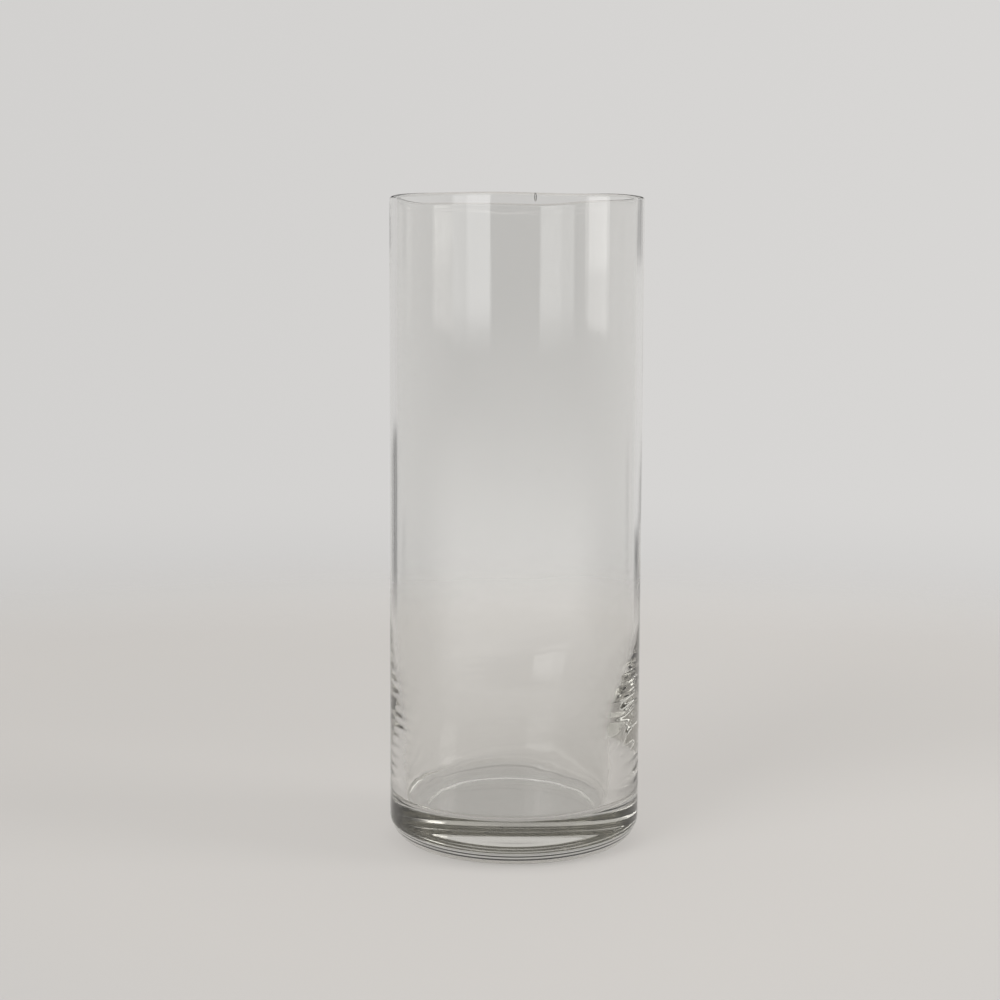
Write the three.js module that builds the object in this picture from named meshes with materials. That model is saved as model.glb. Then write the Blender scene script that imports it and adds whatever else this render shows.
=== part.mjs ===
// A tall glass cylinder vase: one thick-based vessel blown in a mould, turned about +Z.
// Millimetres, +Z up, origin on the table at the centre of the base.
import * as THREE from 'three';

// Overall size.
const HEIGHT = 300;
const OUTER_RADIUS = 58.5;

// Wall and rim.
const WALL = 3.1;
const RIM_ROUNDING = 0.48 * WALL; // fire-polished, so nearly half a circle over the wall

// Solid foot: from the swell down the wall thickens in two slopes, and a tight corner meets the floor.
const FLOOR_THICKNESS = 20;
const SWELL_HEIGHT = 86; // above the swell the wall is even
const SWELL_BLEND = 220;
const SHOULDER_HEIGHT = 50; // below the shoulder the wall thickens more slowly
const SHOULDER_WALL = 9;
const SHOULDER_BLEND = 150;
const FOOT_WALL = 11; // where the slope inside the wall would reach the floor
const FLOOR_CORNER = 4;

// Outside of the foot.
const HEEL_RADIUS = 13;
const PUNT_RADIUS = 40; // shallow hollow under the foot, inside the flat ring the vase stands on
const PUNT_SLOPE = 2;
const PUNT_DEPTH = 0.3;

// Fineness of the faceted surface.
const SEGMENTS = 72;
const CHORD_ERROR = 0.04;

// Rounds every corner of an open outline given as [radius, height, rounding] and returns its points.
function roundedOutline(corners) {
  const points = [];
  corners.forEach(([x, z, rounding], i) => {
    const corner = new THREE.Vector2(x, z);
    if (!rounding) {
      points.push(corner);
      return;
    }
    const before = new THREE.Vector2(...corners[i - 1]).sub(corner).normalize();
    const after = new THREE.Vector2(...corners[i + 1]).sub(corner).normalize();
    const halfAngle = Math.acos(before.dot(after)) / 2;
    const middle = before.clone().add(after).normalize();
    const centre = corner.clone().addScaledVector(middle, rounding / Math.sin(halfAngle));
    const reach = rounding / Math.tan(halfAngle);
    const start = corner.clone().addScaledVector(before, reach).sub(centre);
    const turn = Math.sign(before.cross(after)) * (Math.PI - 2 * halfAngle) * -1;
    const steps = Math.max(2, Math.ceil(Math.abs(turn) / (2 * Math.acos(1 - CHORD_ERROR / rounding))));
    for (let k = 0; k <= steps; k++) {
      const spoke = start.clone().rotateAround(new THREE.Vector2(), (turn * k) / steps);
      points.push(spoke.add(centre));
    }
  });
  return points;
}

// The half section, from the middle of the underside round the outside and down the inside.
const section = roundedOutline([
  [0, PUNT_DEPTH, 0],
  [PUNT_RADIUS - PUNT_SLOPE, PUNT_DEPTH, 12],
  [PUNT_RADIUS, 0, 4],
  [OUTER_RADIUS, 0, HEEL_RADIUS],
  [OUTER_RADIUS, HEIGHT, RIM_ROUNDING],
  [OUTER_RADIUS - WALL, HEIGHT, RIM_ROUNDING],
  [OUTER_RADIUS - WALL, SWELL_HEIGHT, SWELL_BLEND],
  [OUTER_RADIUS - SHOULDER_WALL, SHOULDER_HEIGHT, SHOULDER_BLEND],
  [OUTER_RADIUS - FOOT_WALL, FLOOR_THICKNESS, FLOOR_CORNER],
  [0, FLOOR_THICKNESS, 0],
]);

const clearGlass = new THREE.MeshStandardMaterial({
  color: 0xeef2ef,
  roughness: 0.02,
  metalness: 0,
  transparent: true,
  opacity: 0.35,
});

// A lathe turns about +Y, so the vessel is stood up on +Z.
const vessel = new THREE.LatheGeometry(section, SEGMENTS);
vessel.rotateX(Math.PI / 2);

const vaseBody = new THREE.Mesh(vessel, clearGlass);
vaseBody.name = 'vase_body';

const vase = new THREE.Group();
vase.add(vaseBody);

export default vase;
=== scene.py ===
"""Appearance model of a tall glass cylinder vase, standing on a pale sweep in a soft studio.

Metres, +Z up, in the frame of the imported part. The vase has one piece, the vessel, and nothing moves.
"""
import math

import bpy
from mathutils import Euler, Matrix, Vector, noise


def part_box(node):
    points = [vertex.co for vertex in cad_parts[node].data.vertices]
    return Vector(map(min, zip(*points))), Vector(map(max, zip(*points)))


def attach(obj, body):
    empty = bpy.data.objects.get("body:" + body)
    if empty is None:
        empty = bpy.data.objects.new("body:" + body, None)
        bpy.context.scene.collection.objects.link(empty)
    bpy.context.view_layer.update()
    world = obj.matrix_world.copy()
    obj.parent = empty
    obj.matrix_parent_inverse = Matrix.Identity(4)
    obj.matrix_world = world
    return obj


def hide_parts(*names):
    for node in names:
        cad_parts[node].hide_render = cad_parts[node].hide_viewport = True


MM = 0.001

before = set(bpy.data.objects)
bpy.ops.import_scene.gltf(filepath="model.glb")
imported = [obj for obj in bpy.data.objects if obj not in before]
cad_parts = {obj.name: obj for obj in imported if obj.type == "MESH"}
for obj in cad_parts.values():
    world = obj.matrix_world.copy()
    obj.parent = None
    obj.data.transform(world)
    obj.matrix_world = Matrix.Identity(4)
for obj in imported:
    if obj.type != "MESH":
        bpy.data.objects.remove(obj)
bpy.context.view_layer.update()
BODY_LOW, BODY_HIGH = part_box("vase_body")

# Overall size, from the frame.
HEIGHT = BODY_HIGH.z - BODY_LOW.z
RADIUS = (BODY_HIGH.x - BODY_LOW.x) / 2

# Section of the glass, as in the part: the wall thickens in two slopes from SWELL_HEIGHT to the floor.
WALL = 3.1 * MM
RIM_ROUNDING = 0.48 * WALL
FLOOR_THICKNESS = 20 * MM
SWELL_HEIGHT = 86 * MM
SWELL_BLEND = 220 * MM
SHOULDER_HEIGHT = 50 * MM
SHOULDER_WALL = 9 * MM
SHOULDER_BLEND = 150 * MM
FOOT_WALL = 11 * MM
FLOOR_CORNER = 4 * MM
HEEL_RADIUS = 13 * MM
PUNT_RADIUS = 40 * MM
PUNT_SLOPE = 2 * MM
PUNT_DEPTH = 0.3 * MM

# In the thick lower part the cavity stands off the axis, from LEAN_TOP down and fully below LEAN_FOOT.
LEAN = Vector((-2.3 * MM, 1.0 * MM))
LEAN_TOP = 104 * MM
LEAN_FOOT = 40 * MM

# Marks of the making: a slow wave and fine rings inside the wall, and a rim that dips in places.
BLOWN_WAVE = 0.20 * MM
BLOWN_WAVE_LENGTH = 66 * MM
CHILL_RING = 0.03 * MM
CHILL_RING_PITCH = 5.4 * MM
CHILL_RING_TOP = 104 * MM
RIM_UNEVENNESS = 0.8 * MM

# Fineness of the mesh.
SEGMENTS = 224
CHORD_ERROR = 0.0008 * MM
LONGEST_STRETCH = 3 * MM
LONGEST_RINGED_STRETCH = 0.6 * MM

# The glass.
GLASS_COLOUR = (0.945, (1, 0.999, 0.991))
GLASS_INDEX = 1.5
GLASS_DEPTH_COLOUR = (0.12, 0.1, 0.0, 1)
GLASS_DEPTH_DENSITY = 4.0
HANDLING_ROUGHNESS = 0.012
SURFACE_RELIEF = 0.05 * MM

# The sweep, and the brightness of what stands round the vase.
SWEEP_RADIUS = 1.05
SWEEP_DROP = 0.02 * MM
FLOOR_ALBEDO = 0.735
# Depth of the shadow painted into the sweep's colour round the foot.
PAINTED_CONTACT_SHADOW = 0.09
BACKDROP = 0.665
FAR_FLOOR = 0.60
ROOM = 0.37
PALE_ROOM = 0.62
NEAR_TABLE = 1.25
UPPER_ROOM = 0.85
CEILING = 0.60
FIRST_WINDOW = 2.1
SECOND_WINDOW = 1.9
FLAG_DEPTH = 0.7
BEAM_DEPTH = 0.92

# The camera, in radii of the vase and degrees.
CAMERA_PLACE = (-0.131, -15.44, 4.441)
CAMERA_PITCH = -6.30
CAMERA_ROLL = -0.25
CAMERA_LENS = 70.2
CAMERA_SENSOR = 36

# Light crosses the thick foot many times before it leaves.
LIGHT_BOUNCES = 80


# ---------------------------------------------------------------- shader graphs


class Value:
    """A value socket of a node tree that can be used in arithmetic; each operator adds a Math node."""

    def __init__(self, graph, socket):
        self.graph = graph
        self.socket = socket

    def _math(self, operation, *terms):
        node = self.graph.add("ShaderNodeMath", {"operation": operation}, dict(enumerate(terms)))
        return Value(self.graph, node.outputs[0])

    def __add__(self, other):
        return self._math("ADD", self, other)

    __radd__ = __add__

    def __sub__(self, other):
        return self._math("SUBTRACT", self, other)

    def __rsub__(self, other):
        return self._math("SUBTRACT", other, self)

    def __mul__(self, other):
        return self._math("MULTIPLY", self, other)

    __rmul__ = __mul__

    def __truediv__(self, other):
        return self._math("DIVIDE", self, other)

    def __rtruediv__(self, other):
        return self._math("DIVIDE", other, self)

    def __neg__(self):
        return self._math("MULTIPLY", self, -1)

    def __abs__(self):
        return self._math("ABSOLUTE", self)

    def angle_to(self, other):
        """The angle in degrees whose sine is along self and whose cosine is along other."""
        return self._math("ARCTAN2", self, other) * math.degrees(1)

    def arcsine(self):
        return self._math("ARCSINE", self) * math.degrees(1)

    def root(self):
        return self._math("SQRT", self)

    def mix(self, other, share):
        """This value, turning into other as share goes from 0 to 1."""
        return self + (other - self) * share

    def step(self, low, high):
        """Rises smoothly from 0 at low to 1 at high."""
        node = self.graph.add(
            "ShaderNodeMapRange",
            {"interpolation_type": "SMOOTHSTEP"},
            {"Value": self, "From Min": low, "From Max": high},
        )
        return Value(self.graph, node.outputs["Result"])

    def band(self, low, high, edge):
        """1 between low and high, with soft edges."""
        return self.step(low - edge, low + edge) * (1 - self.step(high - edge, high + edge))


class Graph:
    """Adds nodes to a node tree."""

    def __init__(self, tree):
        self.tree = tree
        tree.nodes.clear()

    def add(self, kind, settings=None, inputs=None):
        """Adds a node of that kind: settings first, then each input's value or link."""
        node = self.tree.nodes.new(kind)
        for name, value in (settings or {}).items():
            setattr(node, name, value)
        for name, value in (inputs or {}).items():
            if isinstance(value, Value):
                self.tree.links.new(value.socket, node.inputs[name])
            elif isinstance(value, bpy.types.NodeSocket):
                self.tree.links.new(value, node.inputs[name])
            else:
                node.inputs[name].default_value = value
        return node

    def value(self, node, output=0):
        return Value(self, node.outputs[output])


def grey(level, tint=(1, 1, 1)):
    return (*(level * t for t in tint), 1)


# ---------------------------------------------------------------- glass mesh


def rounded_outline(corners, chord_error):
    """Rounds the corners of an outline given as (radius, height, rounding)."""
    points = []
    for i, (x, z, rounding) in enumerate(corners):
        corner = Vector((x, z))
        if not rounding:
            points.append(corner)
            continue
        before = (Vector(corners[i - 1][:2]) - corner).normalized()
        after = (Vector(corners[i + 1][:2]) - corner).normalized()
        half = before.angle(after) / 2
        centre = corner + (before + after).normalized() * (rounding / math.sin(half))
        start = corner + before * (rounding / math.tan(half)) - centre
        end = corner + after * (rounding / math.tan(half)) - centre
        turn = start.angle_signed(end)
        steps = max(2, math.ceil(abs(turn) / (2 * math.acos(1 - chord_error / rounding))))
        for k in range(steps + 1):
            angle = -turn * k / steps
            cos, sin = math.cos(angle), math.sin(angle)
            points.append(centre + Vector((start.x * cos - start.y * sin, start.x * sin + start.y * cos)))
    return points


def even_out(points, longest_at):
    """Halves stretches until none is over longest_at(its middle) or much longer than its neighbours."""
    while True:
        lengths = [(b - a).length for a, b in zip(points, points[1:])]
        fine = [points[0]]
        for i, (a, b) in enumerate(zip(points, points[1:])):
            beside = min(lengths[max(i - 1, 0)], lengths[min(i + 1, len(lengths) - 1)])
            if lengths[i] > min(longest_at((a + b) / 2), 2.2 * beside):
                fine.append((a + b) / 2)
            fine.append(b)
        if len(fine) == len(points):
            return fine
        points = fine


def glass_section():
    """The half section, from the middle of the underside round the outside and down the inside."""
    wall = RADIUS - WALL
    outline = rounded_outline(
        [
            (0, PUNT_DEPTH, 0),
            (PUNT_RADIUS - PUNT_SLOPE, PUNT_DEPTH, 12 * MM),
            (PUNT_RADIUS, 0, 4 * MM),
            (RADIUS, 0, HEEL_RADIUS),
            (RADIUS, HEIGHT, RIM_ROUNDING),
            (wall, HEIGHT, RIM_ROUNDING),
            (wall, SWELL_HEIGHT, SWELL_BLEND),
            (RADIUS - SHOULDER_WALL, SHOULDER_HEIGHT, SHOULDER_BLEND),
            (RADIUS - FOOT_WALL, FLOOR_THICKNESS, FLOOR_CORNER),
            (0, FLOOR_THICKNESS, 0),
        ],
        CHORD_ERROR,
    )

    def longest(point):
        inside = point.x < RADIUS - 0.6 * WALL and point.y > FLOOR_THICKNESS + 1 * MM
        if inside and point.y < CHILL_RING_TOP:
            return LONGEST_RINGED_STRETCH
        return LONGEST_STRETCH

    return even_out(outline, longest)


def soft_step(value, low, high):
    t = max(0.0, min(1.0, (value - low) / (high - low)))
    return t * t * (3 - 2 * t)


def noise_round(angle, z, lobes, length, place):
    """Smooth noise on a cylinder: about lobes bumps in a radian, length high, one pattern for each place."""
    return noise.noise(Vector((lobes * math.cos(angle), lobes * math.sin(angle), z / length + place)))


def inner_unevenness(angle, z):
    """How far the inside of the wall stands in from its true section."""
    wave = noise_round(angle, z, 1.6, BLOWN_WAVE_LENGTH, 0) * BLOWN_WAVE
    reach = soft_step(CHILL_RING_TOP - z, 0, 30 * MM) * soft_step(z - FLOOR_THICKNESS, 4 * MM, 12 * MM)
    drift = noise_round(angle, z, 1.1, 60 * MM, 7.3)
    strength = max(0.0, 0.55 + 1.3 * noise_round(angle, z, 2.5, 14 * MM, 21.7))
    across = math.cos(angle) ** 2
    sides = across + 0.35 * (1 - across) * soft_step(z, 52 * MM, 66 * MM)
    turns = z / CHILL_RING_PITCH + 1.4 * drift
    ring = math.sin(2 * math.pi * turns) * CHILL_RING * reach * strength * sides
    return wave * soft_step(HEIGHT - z, 0, 8 * MM) * soft_step(z - FLOOR_THICKNESS, 0, 12 * MM) + ring


def glass_point(point, angle, inside):
    """A point of the section turned to its angle, with the marks of the making."""
    r, z = point
    if inside and z > FLOOR_THICKNESS + 0.5 * MM:
        r -= inner_unevenness(angle, z)
    x, y = r * math.cos(angle), r * math.sin(angle)
    if inside:
        lean = soft_step(LEAN_TOP - z, 0, LEAN_TOP - LEAN_FOOT)
        x += LEAN.x * lean
        y += LEAN.y * lean
    low_rim = max(0.0, 0.5 + noise_round(angle, 0, 1.5, 1, 3.1))
    z -= soft_step(z, HEIGHT - 12 * MM, HEIGHT) * RIM_UNEVENNESS * low_rim
    return x, y, z


def glass_vessel():
    section = glass_section()
    rim_peak = max(range(len(section)), key=lambda i: section[i].y)
    verts = [(0, 0, section[0].y)]
    for i, point in enumerate(section[1:-1], start=1):
        verts += [glass_point(point, 2 * math.pi * k / SEGMENTS, i > rim_peak) for k in range(SEGMENTS)]
    verts.append((LEAN.x, LEAN.y, section[-1].y))
    faces = []
    last = len(verts) - 1
    for k in range(SEGMENTS):
        n = (k + 1) % SEGMENTS
        faces.append((0, 1 + n, 1 + k))
        faces.append((last, last - SEGMENTS + k, last - SEGMENTS + n))
        for start in range(1, last - SEGMENTS, SEGMENTS):
            faces.append((start + k, start + n, start + SEGMENTS + n, start + SEGMENTS + k))
    for seed in SEEDS:
        add_seed(verts, faces, *seed)
    mesh = bpy.data.meshes.new("vessel")
    mesh.from_pydata(verts, [], faces)
    mesh.polygons.foreach_set("use_smooth", [True] * len(mesh.polygons))
    mesh.update()
    vessel = bpy.data.objects.new("vessel", mesh)
    bpy.context.collection.objects.link(vessel)
    return vessel


# Air bubbles in the glass: bearing in degrees, depth under the rim, half width, half height.
SEEDS = [
    (-82.6, 2.9 * MM, 0.55 * MM, 1.7 * MM),
    (-52.0, 61 * MM, 0.18 * MM, 0.30 * MM),
    (-118.0, 96 * MM, 0.14 * MM, 0.24 * MM),
    (38.0, 44 * MM, 0.16 * MM, 0.34 * MM),
    (151.0, 83 * MM, 0.20 * MM, 0.28 * MM),
    (-15.0, 172 * MM, 0.16 * MM, 0.22 * MM),
    (77.0, 131 * MM, 0.18 * MM, 0.30 * MM),
    (-96.0, 208 * MM, 0.15 * MM, 0.25 * MM),
    (-170.0, 187 * MM, 0.17 * MM, 0.26 * MM),
]
SEED_TURNS = 16
SEED_ROWS = 8


def add_seed(verts, faces, bearing, depth, half_width, half_height):
    """One bubble in the middle of the wall: a closed surface that faces into the air inside it."""
    base = len(verts)
    angle = math.radians(bearing)
    middle = RADIUS - WALL / 2
    centre = Vector((middle * math.cos(angle), middle * math.sin(angle), HEIGHT - depth))
    verts.append(tuple(centre - Vector((0, 0, half_height))))
    for j in range(1, SEED_ROWS):
        polar = math.pi * j / SEED_ROWS
        for k in range(SEED_TURNS):
            turn = 2 * math.pi * k / SEED_TURNS
            across, down = half_width * math.sin(polar), half_height * math.cos(polar)
            offset = Vector((across * math.cos(turn), across * math.sin(turn), -down))
            verts.append(tuple(centre + offset))
    verts.append(tuple(centre + Vector((0, 0, half_height))))
    top = len(verts) - 1
    for k in range(SEED_TURNS):
        n = (k + 1) % SEED_TURNS
        faces.append((base, base + 1 + k, base + 1 + n))
        faces.append((top, top - SEED_TURNS + n, top - SEED_TURNS + k))
        for low in range(base + 1, top - SEED_TURNS, SEED_TURNS):
            faces.append((low + k, low + SEED_TURNS + k, low + SEED_TURNS + n, low + n))


# ---------------------------------------------------------------- materials


def clear_glass():
    """Soda-lime glass: clear, faintly uneven on the surface and greyer the deeper the light runs in it."""
    material = bpy.data.materials.new("clear_glass")
    material.use_nodes = True
    graph = Graph(material.node_tree)
    place = graph.add("ShaderNodeTexCoord").outputs["Object"]
    peel = graph.value(graph.add("ShaderNodeTexNoise", {}, {"Vector": place, "Scale": 70, "Detail": 2}))
    draw = graph.value(graph.add("ShaderNodeTexNoise", {}, {"Vector": place, "Scale": 22, "Detail": 1}))
    handling = graph.value(graph.add("ShaderNodeTexNoise", {}, {"Vector": place, "Scale": 35, "Detail": 4}))
    relief = {"Strength": 1.0, "Distance": SURFACE_RELIEF, "Height": peel * 0.2 + draw * 0.8}
    bump = graph.add("ShaderNodeBump", {}, relief)
    shader = graph.add(
        "ShaderNodeBsdfPrincipled",
        {},
        {
            "Base Color": grey(*GLASS_COLOUR),
            "Roughness": handling.step(0.62, 0.8) * HANDLING_ROUGHNESS,
            "IOR": GLASS_INDEX,
            "Transmission Weight": 1.0,
            "Normal": bump.outputs[0],
        },
    )
    depth = graph.add(
        "ShaderNodeVolumeAbsorption", {}, {"Color": GLASS_DEPTH_COLOUR, "Density": GLASS_DEPTH_DENSITY}
    )
    graph.add("ShaderNodeOutputMaterial", {}, {"Surface": shader.outputs[0], "Volume": depth.outputs[0]})
    return material


def pale_sweep():
    """Matt pale paper with painted shade: a painted shadow round the foot, a broad painted shadow behind,
    and painted light brighter to the right. It fades into its surroundings.
    """
    material = bpy.data.materials.new("pale_sweep")
    material.use_nodes = True
    graph = Graph(material.node_tree)
    place = graph.add("ShaderNodeTexCoord")
    split = graph.add("ShaderNodeSeparateXYZ", {}, {0: place.outputs["Object"]})
    x, y = graph.value(split, 0), graph.value(split, 1)
    distance = (x * x + y * y).root()
    in_front = (-y / (distance + 1 * MM)).step(-0.6, 0.8)
    fade = distance.step(0.50, 1.02).mix(distance.step(0.18, 0.46), in_front)
    # Painted shading in the paper's colour: a soft painted shadow band behind the vase, and painted light
    # that brightens from left to right.
    behind = y.band(0.12, 0.62, 0.14)
    painted_light_to_the_right = x.step(-0.35, 0.35) - 0.5
    # A contact shadow painted into the paper round the foot of the vase.
    painted_shadow_at_foot = 1 - distance.step(RADIUS - HEEL_RADIUS, RADIUS + 8 * MM)
    grain = {"Vector": place.outputs["Object"], "Scale": 900, "Detail": 3}
    fibre = graph.value(graph.add("ShaderNodeTexNoise", {}, grain))
    tone = FLOOR_ALBEDO * (1 - 0.05 * behind) * (1 + 0.06 * painted_light_to_the_right)
    tone = tone * (1 - PAINTED_CONTACT_SHADOW * painted_shadow_at_foot) * (0.99 + 0.02 * fibre)
    colour = graph.add("ShaderNodeCombineColor", {}, {0: tone, 1: tone * 0.975, 2: tone * 0.945})
    paper = graph.add("ShaderNodeBsdfDiffuse", {}, {"Color": colour.outputs[0]})
    clear = graph.add("ShaderNodeBsdfTransparent")
    mix = graph.add("ShaderNodeMixShader", {}, {0: fade, 1: paper.outputs[0], 2: clear.outputs[0]})
    graph.add("ShaderNodeOutputMaterial", {}, {"Surface": mix.outputs[0]})
    return material


# ---------------------------------------------------------------- studio


def pale_studio():
    """Pale surroundings, with two tall windows in front of the vase and a bright table below them.

    Dark strips behind the vase, met only by light that has touched the glass, draw the lines along its
    edges: a flag low on each side, one high on the right, and a beam across. The bright table and the
    dim room are met only by light that the glass has mirrored.
    """
    world = bpy.data.worlds.new("studio")
    bpy.context.scene.world = world
    world.use_nodes = True
    graph = Graph(world.node_tree)
    place = graph.add("ShaderNodeTexCoord")
    split = graph.add("ShaderNodeSeparateXYZ", {}, {0: place.outputs["Generated"]})
    x, y, z = (graph.value(split, i) for i in range(3))
    right = x.angle_to(y)  # bearing in degrees: 0 behind the vase, 180 in front of it
    left = -right
    off = abs(right)
    rise = z.arcsine()

    path = graph.add("ShaderNodeLightPath")
    seen = graph.value(path, "Is Camera Ray")
    diffuse = graph.value(path, "Is Diffuse Ray")
    mirrored = graph.value(path, "Glossy Depth").step(0, 1)
    in_glass = (1 - seen) * (1 - diffuse)
    unseen = (mirrored + diffuse).step(0, 1)

    backdrop = BACKDROP * (1 + 0.07 * (right.step(-25, 25) - 0.5))
    backdrop = backdrop - (BACKDROP - FAR_FLOOR) * (1 - rise.step(-10, -6))
    between_windows = off.step(100, 130) * rise.step(-5, 0.5) * mirrored
    wall = (PALE_ROOM + (ROOM - PALE_ROOM) * unseen) * (1 - 0.85 * between_windows)
    room = wall + (FAR_FLOOR - wall) * (1 - rise.step(-9, -1))
    level = backdrop.mix(room, off.step(55, 115))
    level = level.mix(UPPER_ROOM, rise.step(14, 35))
    level = level.mix(CEILING, rise.step(55, 75))
    table = off.step(75, 130) * (1 - rise.step(-8.4, -3.2))
    level = level + table * (NEAR_TABLE - FAR_FLOOR) * mirrored

    beam = (1 - off.step(50, 80)) * (rise.band(8, 13, 1) + 0.4 * rise.band(18, 26, 2))
    level = level * (1 - BEAM_DEPTH * beam * in_glass)
    left_flag = left.band(23, 35, 2) * rise.band(-9.8, -4.6, 0.8)
    right_flag = right.band(23, 35, 2) * rise.band(-11.5, -7.0, 0.6)
    high_flag = right.band(23, 36, 2) * rise.step(0.2, 1.2) * (1 - rise.step(5, 8))
    flags = left_flag + right_flag + 0.7 * high_flag
    level = level * (1 - FLAG_DEPTH * flags * in_glass)

    below_lintel = 1 - rise.step(34, 44)
    first = (left.band(134, 156, 0.8) + 0.65 * left.band(120, 134, 1.5)) * rise.step(-2.4, -0.2)
    second = right.band(90, 114, 0.8) * (0.6 * rise.step(-1.6, -1.0) + 0.4 * rise.step(0.2, 0.9))
    first, second = first * FIRST_WINDOW, second * SECOND_WINDOW
    level = level + (first + second) * below_lintel
    cool = first * below_lintel * 0.02
    tint = {0: level - cool, 1: level * 0.985, 2: level * 0.968 + cool}
    colour = graph.add("ShaderNodeCombineColor", {}, tint)
    background = graph.add("ShaderNodeBackground", {}, {"Color": colour.outputs[0]})
    graph.add("ShaderNodeOutputWorld", {}, {"Surface": background.outputs[0]})


def floor():
    place = (0, 0, -SWEEP_DROP)
    bpy.ops.mesh.primitive_circle_add(vertices=96, radius=SWEEP_RADIUS, fill_type="NGON", location=place)
    sweep = bpy.context.object
    sweep.name = "floor"
    sweep.data.materials.append(pale_sweep())


def camera():
    data = bpy.data.cameras.new("camera")
    data.sensor_width = CAMERA_SENSOR
    data.lens = CAMERA_LENS
    eye = bpy.data.objects.new("camera", data)
    bpy.context.collection.objects.link(eye)
    eye.location = [radii * RADIUS for radii in CAMERA_PLACE]
    eye.rotation_euler = Euler((math.radians(90 + CAMERA_PITCH), math.radians(CAMERA_ROLL), 0), "XYZ")
    bpy.context.scene.camera = eye


def view_settings():
    scene = bpy.context.scene
    scene.view_settings.view_transform = "Standard"
    scene.cycles.max_bounces = LIGHT_BOUNCES
    scene.cycles.transmission_bounces = LIGHT_BOUNCES
    scene.cycles.glossy_bounces = LIGHT_BOUNCES
    scene.cycles.transparent_max_bounces = 16


vessel = glass_vessel()
vessel.data.materials.append(clear_glass())
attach(vessel, "root")
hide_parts("vase_body")
vessel.visible_diffuse = False  # the vase casts no shadow on the sweep; a shadow painted into the sweep's colour stands in for it at the foot
floor()
pale_studio()
camera()
view_settings()
